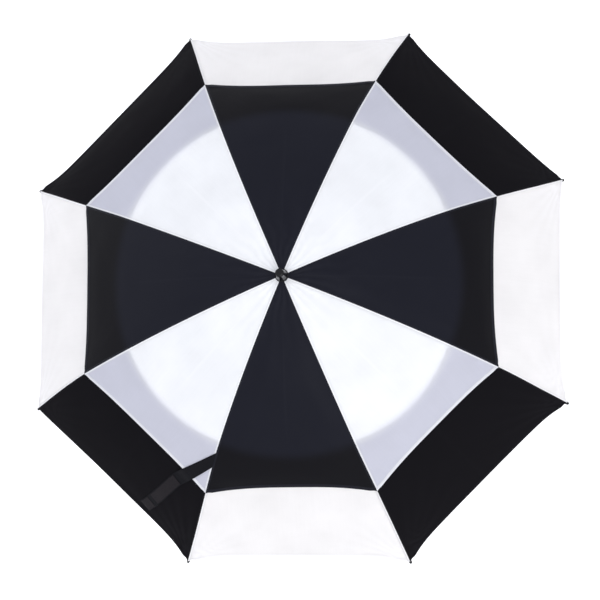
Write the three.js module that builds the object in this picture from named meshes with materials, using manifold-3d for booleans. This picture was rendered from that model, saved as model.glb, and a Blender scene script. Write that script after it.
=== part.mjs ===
// Golf umbrella with a vented double canopy, stored open. Millimetres, +Z up the shaft, handle end on z = 0.
import * as THREE from "three";
import { mergeVertices } from "three/addons/utils/BufferGeometryUtils.js";
import Module from "manifold-3d";

const wasm = await Module();
wasm.setup();

// Driving dimensions.
const GORES = 8;
const HALF = Math.PI / GORES;
const PIVOT_Z = 938;
const PIVOT_R = 12;
const RIB_LENGTH = 745;
const RIB_SLOPE_HUB = 4;
const RIB_SLOPE_TIP = 51;
const RIB_R = 2.25;
const CLOSED_TIP_OUT = 12;
const JOINT_S = 345;
const JOINT_DROP = 6;
const JOINT_SLOT = 1.5;
const STRETCHER_LENGTH = 350;
const STRETCHER_H = 2.2;
const EYE_R = 2.6;
const FORK_LENGTH = 14;
const FLAT_END = 26;
const SHAFT_R = 7;
const SHAFT_WALL = 1;
const SHAFT_TOP = PIVOT_Z + 30;
const GAP = 0.3;
const RUNNER_FIT = 0.35;
const RUNNER_LOW = 45;
const RUNNER_HIGH = 7;
const FLANGE_R = 16;
const UPPER_HEM_S = 508;
const VENT_R = 368;
const UPPER_HEM_CURVE = 12;
const LOWER_HEM_CURVE = 20;
const CLOTH = 0.25;
const LOWER_OFFSET = RIB_R + 0.4;
const UPPER_OFFSET = LOWER_OFFSET + CLOTH + 0.4;
const VENT_LIFT = 9;
const LIFT_START_S = 250;
const HEM_RAISE = 1.8;
const SEAM_GAP = 0.2;
const TIP_LENGTH = 15;
const TIP_MARGIN = 6;
const GRIP_LOW = 8.4;
const GRIP_TOP = 195;
const COLLAR_TOP = 212;
const CATCH_LENGTH = 34;
const CATCH_SLOT = 1.5;
const STRAP_START_S = 402;
const STRAP_ROOT = 36;
const STRAP_SKEW = 5;
const STRAP_WIDTH = 30;
const STRAP_THICK = 1.2;
const STRAP_CLEAR = 0.5;
const STRAP_DROP_FROM = 16;
const STRAP_DROP_OVER = 18;
const UP = new THREE.Vector3(0, 0, 1);

const rad = (d) => (d * Math.PI) / 180;
const SLOPE_0 = rad(RIB_SLOPE_HUB);
const ARC_R = RIB_LENGTH / (rad(RIB_SLOPE_TIP) - SLOPE_0);

const colours = {
  black: 0x1c1c22,
  white: 0xeceef4,
  steel: 0xb8bcc2,
  darkPlastic: 0x141416,
  fibre: 0x25262a,
  foam: 0x232325,
};

// The rib's line in its own upright plane: radius, height and slope at arc length s, moved off along
// the normal.
function ribPoint(s, off = 0) {
  const slope = SLOPE_0 + s / ARC_R;
  return {
    r: PIVOT_R + ARC_R * (Math.sin(slope) - Math.sin(SLOPE_0)) + off * Math.sin(slope),
    z: PIVOT_Z - ARC_R * (Math.cos(SLOPE_0) - Math.cos(slope)) + off * Math.cos(slope),
    slope,
  };
}

// Solids.
function toSolid(geometry) {
  const g = geometry.index ? geometry.toNonIndexed() : geometry.clone();
  g.deleteAttribute("normal");
  g.deleteAttribute("uv");
  const merged = mergeVertices(g, 1e-3);
  return new wasm.Manifold(
    new wasm.Mesh({
      numProp: 3,
      vertProperties: merged.attributes.position.array,
      triVerts: new Uint32Array(merged.index.array),
    }),
  );
}

function toGeometry(solid) {
  const m = solid.getMesh();
  const points = new Float32Array(m.numVert * 3);
  for (let i = 0; i < m.numVert; i++) {
    points.set(m.vertProperties.subarray(i * m.numProp, i * m.numProp + 3), i * 3);
  }
  const g = new THREE.BufferGeometry();
  g.setAttribute("position", new THREE.BufferAttribute(points, 3));
  g.setIndex(new THREE.BufferAttribute(m.triVerts, 1));
  return g;
}

// A body of revolution about +Z from a closed profile of [radius, height].
function turned(profile, sides = 32) {
  const points = profile.map(([r, z]) => new THREE.Vector2(r, z));
  return new THREE.LatheGeometry(points, sides).rotateX(Math.PI / 2);
}

function ring(inner, outer, low, high, sides = 32) {
  return turned([[inner, low], [outer, low], [outer, high], [inner, high], [inner, low]], sides);
}

function block(x0, x1, y0, y1, z0, z1) {
  return new THREE.BoxGeometry(x1 - x0, y1 - y0, z1 - z0)
    .translate((x0 + x1) / 2, (y0 + y1) / 2, (z0 + z1) / 2);
}

// A round pin along the tangent, centred at radius r and height z.
function pin(r, z, radius, width, sides = 10) {
  return new THREE.CylinderGeometry(radius, radius, width, sides).translate(r, 0, z);
}

// A closed sheet over an nu by nv grid; point(a, b, side) gives the lower (0) or upper (1) face.
function sheet(nu, nv, point) {
  const at = [];
  for (const side of [0, 1]) {
    for (let i = 0; i <= nu; i++) {
      for (let j = 0; j <= nv; j++) {
        at.push(...point(i / nu, j / nv, side));
      }
    }
  }
  const count = (nu + 1) * (nv + 1);
  const id = (i, j, side) => side * count + i * (nv + 1) + j;
  const faces = [];
  const quad = (a, b, c, d) => faces.push(a, b, c, a, c, d);
  for (let i = 0; i < nu; i++) {
    for (let j = 0; j < nv; j++) {
      quad(id(i, j, 1), id(i + 1, j, 1), id(i + 1, j + 1, 1), id(i, j + 1, 1));
      quad(id(i, j, 0), id(i, j + 1, 0), id(i + 1, j + 1, 0), id(i + 1, j, 0));
    }
  }
  for (let i = 0; i < nu; i++) {
    quad(id(i, 0, 0), id(i + 1, 0, 0), id(i + 1, 0, 1), id(i, 0, 1));
    quad(id(i, nv, 1), id(i + 1, nv, 1), id(i + 1, nv, 0), id(i, nv, 0));
  }
  for (let j = 0; j < nv; j++) {
    quad(id(0, j, 1), id(0, j + 1, 1), id(0, j + 1, 0), id(0, j, 0));
    quad(id(nu, j, 0), id(nu, j + 1, 0), id(nu, j + 1, 1), id(nu, j, 1));
  }
  const g = new THREE.BufferGeometry();
  g.setAttribute("position", new THREE.Float32BufferAttribute(at, 3));
  g.setIndex(faces);
  return g;
}

// A round bar along the rib's line from s0 to s1.
function ribBar(s0, s1, radius, steps, sides) {
  const at = [];
  for (let i = 0; i <= steps; i++) {
    const p = ribPoint(s0 + ((s1 - s0) * i) / steps);
    for (let j = 0; j < sides; j++) {
      const turn = (2 * Math.PI * j) / sides;
      const out = radius * Math.cos(turn);
      at.push(p.r + out * Math.sin(p.slope), radius * Math.sin(turn), p.z + out * Math.cos(p.slope));
    }
  }
  const first = ribPoint(s0);
  const last = ribPoint(s1);
  at.push(first.r, 0, first.z, last.r, 0, last.z);
  const faces = [];
  const ends = (steps + 1) * sides;
  for (let j = 0; j < sides; j++) {
    const k = (j + 1) % sides;
    for (let i = 0; i < steps; i++) {
      const a = i * sides + j;
      const b = i * sides + k;
      faces.push(a, b + sides, b, a, a + sides, b + sides);
    }
    faces.push(ends, j, k);
    faces.push(ends + 1, steps * sides + k, steps * sides + j);
  }
  const g = new THREE.BufferGeometry();
  g.setAttribute("position", new THREE.Float32BufferAttribute(at, 3));
  g.setIndex(faces);
  return g;
}

const part = new THREE.Group();
function add(name, geometry, colour) {
  const material = new THREE.MeshStandardMaterial({ color: colour });
  const mesh = new THREE.Mesh(geometry, material);
  mesh.name = name;
  part.add(mesh);
  return mesh;
}

// Pivots of the linkage.
const onRib = ribPoint(JOINT_S);
const jointR = onRib.r - JOINT_DROP * Math.sin(onRib.slope);
const jointZ = onRib.z - JOINT_DROP * Math.cos(onRib.slope);
const reach = jointR - PIVOT_R;
const RUNNER_Z = jointZ - Math.sqrt(STRETCHER_LENGTH ** 2 - reach ** 2);
const tip = ribPoint(RIB_LENGTH);
const fold = Math.PI / 2 - Math.atan2(PIVOT_Z - tip.z, tip.r - PIVOT_R)
  - Math.asin(CLOSED_TIP_OUT / Math.hypot(PIVOT_Z - tip.z, tip.r - PIVOT_R));
const jointFold = Math.atan2(PIVOT_Z - jointZ, reach) + fold;
const jointArm = Math.hypot(PIVOT_Z - jointZ, reach);
const RUNNER_CLOSED_Z = PIVOT_Z - jointArm * Math.sin(jointFold)
  - Math.sqrt(STRETCHER_LENGTH ** 2 - (jointArm * Math.cos(jointFold)) ** 2);
const TOP_NOSE = RUNNER_Z - RUNNER_LOW - GAP;
const LOW_NOSE = RUNNER_CLOSED_Z + RUNNER_HIGH + GAP;

// Shaft: a thin steel tube with a slot for each catch.
const tube = toSolid(ring(SHAFT_R - SHAFT_WALL, SHAFT_R, GRIP_LOW, SHAFT_TOP, 36));
const catchSlot = (low, high) =>
  toSolid(block(3, 10, -CATCH_SLOT, CATCH_SLOT, low - CATCH_SLOT, high + CATCH_SLOT));
const topSlot = catchSlot(TOP_NOSE - CATCH_LENGTH, TOP_NOSE);
const lowSlot = catchSlot(LOW_NOSE, LOW_NOSE + CATCH_LENGTH);
add("shaft", toGeometry(tube.subtract(topSlot).subtract(lowSlot)), colours.steel);

// Catches: triangular pressed-steel springs whose noses stand out of the slots.
function catchPlate(nose, way) {
  const outline = new THREE.Shape();
  outline.moveTo(4.6, nose);
  outline.lineTo(9.4, nose);
  outline.lineTo(9.6, nose - way * 3);
  outline.lineTo(6.4, nose - way * (CATCH_LENGTH - 4));
  outline.lineTo(5.9, nose - way * CATCH_LENGTH);
  outline.lineTo(4.6, nose - way * CATCH_LENGTH);
  outline.closePath();
  return new THREE.ExtrudeGeometry(outline, { depth: 2, bevelEnabled: false, steps: 1 })
    .translate(0, 0, -1)
    .rotateX(Math.PI / 2);
}
add("top_catch", catchPlate(TOP_NOSE, 1), colours.steel);
add("bottom_catch", catchPlate(LOW_NOSE, -1), colours.steel);

// Handle: end cap with a plug, foam grip and collar.
const capProfile = [[0, 0], [13, 0], [16, 1.4], [17.2, 4], [17.2, 8], [5.6, 8], [5.6, 24], [0, 24]];
add("end_cap", turned(capProfile, 32), colours.darkPlastic);
const gripProfile = [
  [7.4, GRIP_LOW], [17, GRIP_LOW], [17.6, 12], [17.8, 26], [16.6, 48], [15.6, 80], [15.4, 110],
  [15.9, 145], [16.3, 175], [15.9, 190], [15, GRIP_TOP], [7.4, GRIP_TOP], [7.4, GRIP_LOW],
];
add("handle_grip", turned(gripProfile, 32), colours.foam);
const collarProfile = [
  [7.35, GRIP_TOP + 0.4], [15.6, GRIP_TOP + 0.4], [15.6, GRIP_TOP + 5], [13.6, GRIP_TOP + 9],
  [12, COLLAR_TOP - 1.5], [11, COLLAR_TOP], [7.35, COLLAR_TOP], [7.35, GRIP_TOP + 0.4],
];
add("handle_collar", turned(collarProfile, 36), colours.darkPlastic);

// Runner: a sliding sleeve with a finger collar below and a slotted flange for the stretchers.
const runnerBase = RUNNER_Z - RUNNER_LOW;
const runnerTop = RUNNER_Z + RUNNER_HIGH;
const runnerProfile = [
  [SHAFT_R + RUNNER_FIT, runnerBase], [10.4, runnerBase], [10.9, runnerBase + 1], [10.9, runnerBase + 6],
  [10, runnerBase + 9], [9.4, runnerBase + 16], [9.4, RUNNER_Z - 12], [12, RUNNER_Z - 7],
  [FLANGE_R, RUNNER_Z - 5], [FLANGE_R, RUNNER_Z + 5], [10.5, runnerTop],
  [SHAFT_R + RUNNER_FIT, runnerTop], [SHAFT_R + RUNNER_FIT, runnerBase],
];
let runner = toSolid(turned(runnerProfile, 32));
let notch = toSolid(turned([
  [SHAFT_R + GAP, PIVOT_Z - 7], [14.5, PIVOT_Z - 7], [FLANGE_R, PIVOT_Z - 5.5], [FLANGE_R, PIVOT_Z - 1.3],
  [10.6, PIVOT_Z - 1.3], [10.6, PIVOT_Z + 1.3], [FLANGE_R, PIVOT_Z + 1.3], [FLANGE_R, PIVOT_Z + 2.2],
  [SHAFT_R + GAP, PIVOT_Z + 2.2], [SHAFT_R + GAP, PIVOT_Z - 7],
], 32));
for (let k = 0; k < GORES; k++) {
  const turn = HALF + 2 * HALF * k;
  const runnerSlot = block(9.2, 20, -JOINT_SLOT, JOINT_SLOT, RUNNER_Z - 12, RUNNER_Z + 10).rotateZ(turn);
  const notchSlot = block(8.9, 20, -JOINT_SLOT, JOINT_SLOT, PIVOT_Z - 10, PIVOT_Z + 5).rotateZ(turn);
  runner = runner.subtract(toSolid(runnerSlot));
  notch = notch.subtract(toSolid(notchSlot));
}
add("runner", toGeometry(runner), colours.darkPlastic);
add("top_notch", toGeometry(notch), colours.darkPlastic);
const wire = new THREE.TorusGeometry(PIVOT_R, 0.8, 6, 40).translate(0, 0, PIVOT_Z);
add("notch_wire", wire, colours.steel);

// Crown cap and ferrule over the cloth.
const crownZ = PIVOT_Z + UPPER_OFFSET + CLOTH;
add("crown_cap", turned([
  [SHAFT_R + GAP, crownZ + 0.4], [14.2, crownZ + 0.4], [14.2, crownZ + 1.6],
  [13.2, crownZ + 2.6], [SHAFT_R + GAP, crownZ + 2.6], [SHAFT_R + GAP, crownZ + 0.4],
], 32), colours.darkPlastic);
add("ferrule", turned([
  [SHAFT_R + GAP, crownZ + 2.9], [12.7, crownZ + 2.9], [13, crownZ + 5], [12, crownZ + 9],
  [10.6, crownZ + 20], [9.6, crownZ + 34], [9.4, crownZ + 40], [8.4, crownZ + 43.6],
  [5.5, crownZ + 45.4], [0, crownZ + 45.8], [0, SHAFT_TOP + 0.4], [SHAFT_R + GAP, SHAFT_TOP + 0.4],
  [SHAFT_R + GAP, crownZ + 2.9],
], 32), colours.darkPlastic);

// One rib: eye, round bar, and a lug hanging under it for the stretcher's pin.
let rib = toSolid(ribBar(11, RIB_LENGTH - 5, RIB_R, 14, 8));
rib = rib.add(toSolid(pin(PIVOT_R, PIVOT_Z, 2.75, 2.4)));
const eyeBar = block(0, 13.5, -1.2, 1.2, -2.2, 2.2).rotateY(SLOPE_0).translate(PIVOT_R, 0, PIVOT_Z);
rib = rib.add(toSolid(eyeBar));
rib = rib.subtract(toSolid(pin(PIVOT_R, PIVOT_Z, 1.15, 6)));
const lug = block(-3, 3, -0.8, 0.8, 0, JOINT_DROP).rotateY(onRib.slope).translate(jointR, 0, jointZ);
rib = rib.add(toSolid(lug)).add(toSolid(pin(jointR, jointZ, 3, 1.6)));
rib = rib.subtract(toSolid(pin(jointR, jointZ, 1.3, 6)));

// One stretcher: bar pressed flat at the runner's end into a narrow eye, and a riveted fork at the rib.
const lean = Math.atan2(jointZ - RUNNER_Z, reach);
const forkStart = STRETCHER_LENGTH - FORK_LENGTH;
let stretcher = toSolid(block(FLAT_END - 2, forkStart + 2, -1.8, 1.8, -STRETCHER_H, STRETCHER_H));
stretcher = stretcher.add(toSolid(block(0, FLAT_END, -1.1, 1.1, -STRETCHER_H, STRETCHER_H)));
stretcher = stretcher.add(toSolid(pin(0, 0, EYE_R, 2.2)));
for (const [low, high] of [[-2.2, -1.1], [1.1, 2.2]]) {
  const cheek = block(forkStart, STRETCHER_LENGTH, low, high, -STRETCHER_H, STRETCHER_H);
  const boss = pin(STRETCHER_LENGTH, 0, EYE_R, high - low).translate(0, (low + high) / 2, 0);
  stretcher = stretcher.add(toSolid(cheek)).add(toSolid(boss));
}
const saddle = block(forkStart, forkStart + 8.5, -2.2, 2.2, -STRETCHER_H, STRETCHER_H);
stretcher = stretcher.add(toSolid(saddle));
stretcher = stretcher.add(toSolid(pin(STRETCHER_LENGTH, 0, 1, 5.2)));

// One rib tip: a moulded cap over the rib's end with a ball.
const tipProfile = [
  [0, 6.5], [1.6, 6.2], [2.9, 4.9], [3.4, 3.2], [2.9, 1.2], [2.6, 0], [3.2, -1.4], [3.2, 1.6 - TIP_LENGTH],
  [2.8, 1 - TIP_LENGTH], [RIB_R + 0.4, 1 - TIP_LENGTH], [RIB_R + 0.4, -4.6], [0, -4.6],
].reverse();
const tipCap = toSolid(turned(tipProfile, 10));

for (let k = 0; k < GORES; k++) {
  const turn = HALF + 2 * HALF * k;
  add("rib_" + (k + 1), toGeometry(rib).rotateZ(turn), colours.fibre);
  const bar = toGeometry(stretcher).rotateY(-lean).translate(PIVOT_R, 0, RUNNER_Z).rotateZ(turn);
  add("stretcher_" + (k + 1), bar, colours.steel);
  const cap = toGeometry(tipCap).rotateY(Math.PI / 2 + tip.slope).translate(tip.r, 0, tip.z);
  add("rib_tip_" + (k + 1), cap.rotateZ(turn), colours.darkPlastic);
}

// Cloth between two ribs: at arc length s and place v across (-1 to 1), stretched straight from rib to rib.
function clothPoint(s, v, off, lift, middle) {
  const p = ribPoint(s, off);
  const wide = p.r * Math.sin(HALF) - SEAM_GAP;
  const x = p.r * Math.cos(HALF);
  return new THREE.Vector3(x, v * wide, p.z + lift * (1 - v * v)).applyAxisAngle(UP, middle);
}

// How far each hem is cut back from the straight line between two rib tips, at v.
const upperHemBack = (v) => UPPER_HEM_CURVE * (1 - Math.abs(v) ** 3);
const lowerHemBack = (v) => LOWER_HEM_CURVE * (1 - Math.abs(v) ** 5);
const liftAt = (s) => VENT_LIFT * Math.max(0, (s - LIFT_START_S) / (UPPER_HEM_S - LIFT_START_S)) ** 1.5;

// Arc length at which the round vent opening crosses the gore at v.
function ventS(v) {
  const needed = VENT_R / Math.hypot(Math.cos(HALF), v * Math.sin(HALF));
  return (Math.asin((needed - PIVOT_R) / ARC_R + Math.sin(SLOPE_0)) - SLOPE_0) * ARC_R;
}

for (let g = 0; g < GORES; g++) {
  const middle = 2 * HALF * (g + 1);
  const light = g % 2 === 0;
  const upper = sheet(12, 6, (a, b, side) => {
    const v = 2 * b - 1;
    const s = 1 + a * (UPPER_HEM_S - upperHemBack(v) - 1);
    return clothPoint(s, v, UPPER_OFFSET + side * CLOTH, liftAt(s), middle).toArray();
  });
  add("upper_gore_" + (g + 1), upper, light ? colours.white : colours.black);
  for (const [name, from] of [["a", -1], ["b", 0]]) {
    const lower = sheet(7, 4, (a, b, side) => {
      const v = from + b * 0.999 + (from === 0 ? 0.001 : 0);
      const s0 = ventS(v);
      const s = s0 + a * (RIB_LENGTH - TIP_MARGIN - lowerHemBack(v) - s0);
      const off = LOWER_OFFSET + side * CLOTH + (a === 1 ? HEM_RAISE : 0);
      return clothPoint(s, v, off, 0, middle).toArray();
    });
    add("lower_gore_" + (g + 1) + name, lower, light ? colours.black : colours.white);
  }
}

// Tie strap: sewn into the seam of rib 6, lying over the upper cloth, down past its hem and on the lower cloth.
const strapMiddle = 2 * HALF * 5;
const strapInner = [[STRAP_START_S, 0], [505, 113], [538, 102], [639, 90], [664, 87], [700, 80]];
function strapPlace(a, b) {
  const along = a * (strapInner.length - 1);
  const i = Math.min(strapInner.length - 2, Math.floor(along));
  const mix = along - i;
  const edge = [0, 1].map((side) => {
    const [s0, y0] = strapInner[i];
    const [s1, y1] = strapInner[i + 1];
    const shift = side * STRAP_WIDTH;
    const start = i === 0 ? s0 + side * STRAP_ROOT : s0 + side * STRAP_SKEW;
    const from = i === 0 ? ribPoint(start).r * Math.sin(HALF) - 2 : y0 + shift;
    return [start + mix * (s1 + side * STRAP_SKEW - start), from + mix * (y1 + shift - from)];
  });
  return [0, 1].map((c) => edge[0][c] + b * (edge[1][c] - edge[0][c]));
}
function strapPoint(a, b, side) {
  const [s, y] = strapPlace(a, b);
  const v = y / (ribPoint(s).r * Math.sin(HALF));
  const hem = UPPER_HEM_S - upperHemBack(v);
  const down = Math.min(1, Math.max(0, (s - hem - STRAP_DROP_FROM) / STRAP_DROP_OVER));
  const high = UPPER_OFFSET + CLOTH + STRAP_CLEAR;
  const low = LOWER_OFFSET + CLOTH + STRAP_CLEAR + (s > 685 ? 0.8 : 0);
  const off = high + down * (low - high) + side * STRAP_THICK;
  return clothPoint(s, v, off, liftAt(Math.min(s, hem)) * (1 - down), strapMiddle).toArray();
}
add("tie_strap", sheet(25, 2, strapPoint), colours.darkPlastic);

export default part;
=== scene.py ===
import math

import bmesh
import bpy
import numpy as np
from mathutils import Matrix, Vector


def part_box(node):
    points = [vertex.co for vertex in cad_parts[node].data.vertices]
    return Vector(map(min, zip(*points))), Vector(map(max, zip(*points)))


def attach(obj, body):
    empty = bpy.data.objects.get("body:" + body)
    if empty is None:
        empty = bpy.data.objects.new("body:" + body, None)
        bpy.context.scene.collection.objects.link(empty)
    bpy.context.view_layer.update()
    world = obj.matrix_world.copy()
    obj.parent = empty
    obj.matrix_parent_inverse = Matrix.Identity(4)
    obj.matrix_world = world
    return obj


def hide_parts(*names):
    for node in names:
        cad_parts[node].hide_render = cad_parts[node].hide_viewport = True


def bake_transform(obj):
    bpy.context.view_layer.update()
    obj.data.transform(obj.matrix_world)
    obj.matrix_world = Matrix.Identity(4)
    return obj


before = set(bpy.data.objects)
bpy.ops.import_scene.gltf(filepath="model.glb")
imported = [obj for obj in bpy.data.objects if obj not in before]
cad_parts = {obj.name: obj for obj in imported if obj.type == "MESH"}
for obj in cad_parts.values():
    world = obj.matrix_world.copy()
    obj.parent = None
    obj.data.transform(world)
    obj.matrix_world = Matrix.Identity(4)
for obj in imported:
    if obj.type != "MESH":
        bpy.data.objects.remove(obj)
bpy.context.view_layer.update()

# ---------------------------------------------------------------- dimensions in metres
GORES = 8
HALF = math.pi / GORES
PIVOT_Z, PIVOT_R = 0.938, 0.012
RIB_LENGTH = 0.745
SLOPE_0, SLOPE_1 = math.radians(4), math.radians(51)
ARC_R = RIB_LENGTH / (SLOPE_1 - SLOPE_0)
RIB_R = 0.00225
JOINT_S, JOINT_DROP = 0.345, 0.006
STRETCHER = 0.350
SHAFT_R = 0.007
UPPER_HEM = 0.508
VENT_R = 0.368
LOWER_OFF = RIB_R + 0.0004
UPPER_OFF = LOWER_OFF + 0.00065
VENT_LIFT = 0.009
STRAP_GORE = 5
CLOTH = 0.00025
HEM_WIDTH, HEM_EDGE, HEM_EXTRA = 0.0092, 0.0008, 0.00035
VENT_HEM_WIDTH = 0.0082
FELL_WIDTH, FELL_EDGE, FELL_EXTRA = 0.0048, 0.0012, 0.00040
CROWN_RAISE = 0.0004
TIP_MARGIN = 0.006
LIFT_START = 0.250
FLANGE_R = 0.016
BORE_R = 0.0073
RUNNER_BORE_R = 0.00735
SLOT = 0.0015
CATCH_LENGTH = 0.034
GRIP_LOW, GRIP_TOP = 0.0084, 0.195
GRIP_BORE_R = 0.0074
COLLAR_TOP = 0.212


def rib_point(s, off=0.0):
    """Radius and height at arc length s along a rib, moved off outward."""
    a = SLOPE_0 + np.asarray(s, float) / ARC_R
    r = PIVOT_R + ARC_R * (np.sin(a) - math.sin(SLOPE_0)) + off * np.sin(a)
    z = PIVOT_Z - ARC_R * (math.cos(SLOPE_0) - np.cos(a)) + off * np.cos(a)
    return r, z


def smooth(x):
    x = np.clip(x, 0, 1)
    return x * x * (3 - 2 * x)


ON_RIB = rib_point(JOINT_S)
JOINT_A = SLOPE_0 + JOINT_S / ARC_R
JOINT_R = float(ON_RIB[0]) - JOINT_DROP * math.sin(JOINT_A)
JOINT_Z = float(ON_RIB[1]) - JOINT_DROP * math.cos(JOINT_A)
REACH = JOINT_R - PIVOT_R
RUNNER_Z = JOINT_Z - math.sqrt(STRETCHER**2 - REACH**2)
RUNNER_LOW, RUNNER_HIGH = 0.045, 0.007
LOW_CATCH_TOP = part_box("bottom_catch")[1][2]


# ---------------------------------------------------------------- materials
class Nodes:
    """One material's node tree. An input is named, or numbered as i0, i1."""

    def __init__(self, name):
        self.material = bpy.data.materials.new(name)
        self.material.use_nodes = True
        self.tree = self.material.node_tree
        self.tree.nodes.clear()
        self.out = self.tree.nodes.new("ShaderNodeOutputMaterial")

    def add(self, kind, **inputs):
        node = self.tree.nodes.new(kind)
        for key, value in inputs.items():
            self.set(node, key, value)
        return node

    def set(self, node, key, value):
        numbered = key.startswith("i") and key[1:].isdigit()
        target = node.inputs[int(key[1:]) if numbered else key]
        if isinstance(value, bpy.types.NodeSocket):
            self.tree.links.new(value, target)
        else:
            target.default_value = value

    def math(self, operation, a, b=0.0, clamp=False):
        node = self.add("ShaderNodeMath", i0=a, i1=b)
        node.operation = operation
        node.use_clamp = clamp
        return node.outputs[0]

    def mix(self, factor, a, b, blend="MIX"):
        node = self.tree.nodes.new("ShaderNodeMix")
        node.data_type = "RGBA"
        node.blend_type = blend
        self.set(node, "Factor", factor)
        for index, value in ((6, a), (7, b)):
            if isinstance(value, bpy.types.NodeSocket):
                self.tree.links.new(value, node.inputs[index])
            else:
                node.inputs[index].default_value = (*value, 1)
        return node.outputs[2]

    def ramp(self, factor, stops):
        node = self.add("ShaderNodeValToRGB", Fac=factor)
        ramp = node.color_ramp
        while len(ramp.elements) < len(stops):
            ramp.elements.new(0.5)
        for element, (place, value) in zip(ramp.elements, stops):
            element.position = place
            element.color = (value, value, value, 1)
        return node.outputs[0]

    def attribute(self, name):
        node = self.add("ShaderNodeAttribute")
        node.attribute_name = name
        return node.outputs["Fac"]

    def attribute_vector(self, name):
        return self.add("ShaderNodeCombineXYZ", X=self.attribute(name)).outputs[0]

    def uv(self, scale):
        node = self.add("ShaderNodeUVMap")
        node.uv_map = "cut"
        mapping = self.add("ShaderNodeMapping", Vector=node.outputs[0], Scale=scale)
        return mapping.outputs[0]

    def place(self, scale=(1, 1, 1)):
        coords = self.add("ShaderNodeTexCoord")
        mapping = self.add("ShaderNodeMapping", Vector=coords.outputs["Object"], Scale=scale)
        return mapping.outputs[0]

    def noise(self, vector, scale, detail=3.0, rough=0.55):
        node = self.add("ShaderNodeTexNoise", Vector=vector, Scale=scale, Detail=detail, Roughness=rough)
        return node.outputs["Fac"]

    def bump(self, height, distance, strength=1.0):
        node = self.add("ShaderNodeBump", Height=height, Distance=distance, Strength=strength)
        return node.outputs[0]

    def surface(self, shader):
        self.tree.links.new(shader.outputs[0], self.out.inputs["Surface"])
        return self.material


def cloth_material(name, colour, underlay_shade, through, sheen, rough, specular, highlight_lines):
    """Tight plain-weave canopy cloth. underlay_shade is its colour with painted shade where a second canopy
    lies under it, through the share of light it lets through, highlight_lines the colour of the painted
    highlights along creases, wrinkles, seam edges and hems."""
    m = Nodes(name)
    cut = m.uv((1, 1, 1))
    threads = m.uv((1000, 1000, 1))
    across = m.add("ShaderNodeTexWave", Vector=threads, Scale=1.0, Distortion=0.35, Detail=1.0)
    across.bands_direction = "X"
    along = m.add("ShaderNodeTexWave", Vector=threads, Scale=1.0, Distortion=0.35, Detail=1.0)
    along.bands_direction = "Y"
    weave = m.math("MULTIPLY", across.outputs["Fac"], along.outputs["Fac"])
    cloudy = m.noise(cut, 9.0, 4.0)
    streaks = m.noise(m.uv((3, 60, 1)), 4.0, 3.0)
    # Painted shade: the cloth turns to its darker colour where the other canopy lies under it.
    base = m.mix(m.attribute("under"), colour, underlay_shade)
    shade = m.ramp(cloudy, [(0.3, 0.90), (0.7, 1.0)])
    base = m.mix(0.55, base, shade, "MULTIPLY")
    base = m.mix(0.12, base, m.ramp(streaks, [(0.35, 0.90), (0.65, 1.0)]), "MULTIPLY")
    # Painted highlight: lighter along the pressed fold, wrinkles, seam edges and hems, where the crease
    # attribute is set.
    base = m.mix(m.math("MULTIPLY", m.attribute("crease"), 0.8, True), base, highlight_lines)
    dashes = m.add("ShaderNodeTexWave", Vector=m.attribute_vector("stitch"), Scale=1.0)
    dashed = m.ramp(dashes.outputs["Fac"], [(0.35, 0.0), (0.5, 1.0)])
    stitched = m.math("MULTIPLY", dashed, m.attribute("seam"))
    base = m.mix(m.math("MULTIPLY", stitched, 0.30), base, tuple(0.55 * c for c in colour))
    height = m.math("ADD", m.math("MULTIPLY", weave, 0.000008), m.math("MULTIPLY", cloudy, 0.0006))
    height = m.math("SUBTRACT", height, m.math("MULTIPLY", stitched, 0.0002))
    normal = m.bump(height, 1.0, 0.8)
    front = m.add("ShaderNodeBsdfPrincipled", **{"Base Color": base, "Roughness": rough, "Normal": normal})
    front.inputs["Sheen Weight"].default_value = sheen
    front.inputs["Sheen Roughness"].default_value = 0.4
    front.inputs["Specular IOR Level"].default_value = specular
    back = m.add("ShaderNodeBsdfTranslucent", Color=base, Normal=normal)
    mixed = m.add("ShaderNodeMixShader", Fac=through, i1=front.outputs[0], i2=back.outputs[0])
    return m.surface(mixed)


def steel_material(name, colour, rough):
    m = Nodes(name)
    brushed = m.noise(m.place((400, 400, 12)), 3.0, 4.0, 0.6)
    worn = m.noise(m.place(), 60.0, 3.0)
    base = m.mix(m.ramp(worn, [(0.35, 0.0), (0.75, 0.6)]), colour, tuple(0.72 * c for c in colour))
    roughness = m.math("ADD", m.math("MULTIPLY", brushed, 0.16), rough)
    shader = m.add(
        "ShaderNodeBsdfPrincipled",
        **{"Base Color": base, "Metallic": 1.0, "Roughness": roughness, "Normal": m.bump(brushed, 0.00003)},
    )
    return m.surface(shader)


def plastic_material(name, colour, rough, grain, scale, specular, coat):
    m = Nodes(name)
    fine = m.noise(m.place(), scale, 2.0)
    broad = m.noise(m.place(), 35.0, 3.0)
    base = m.mix(m.ramp(broad, [(0.3, 0.0), (0.8, 1.0)]), colour, tuple(1.3 * c + 0.001 for c in colour))
    roughness = m.math("ADD", m.math("MULTIPLY", broad, 0.12), rough)
    shader = m.add(
        "ShaderNodeBsdfPrincipled",
        **{"Base Color": base, "Roughness": roughness, "Normal": m.bump(fine, grain)},
    )
    shader.inputs["Specular IOR Level"].default_value = specular
    shader.inputs["Coat Weight"].default_value = coat
    return m.surface(shader)


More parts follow.
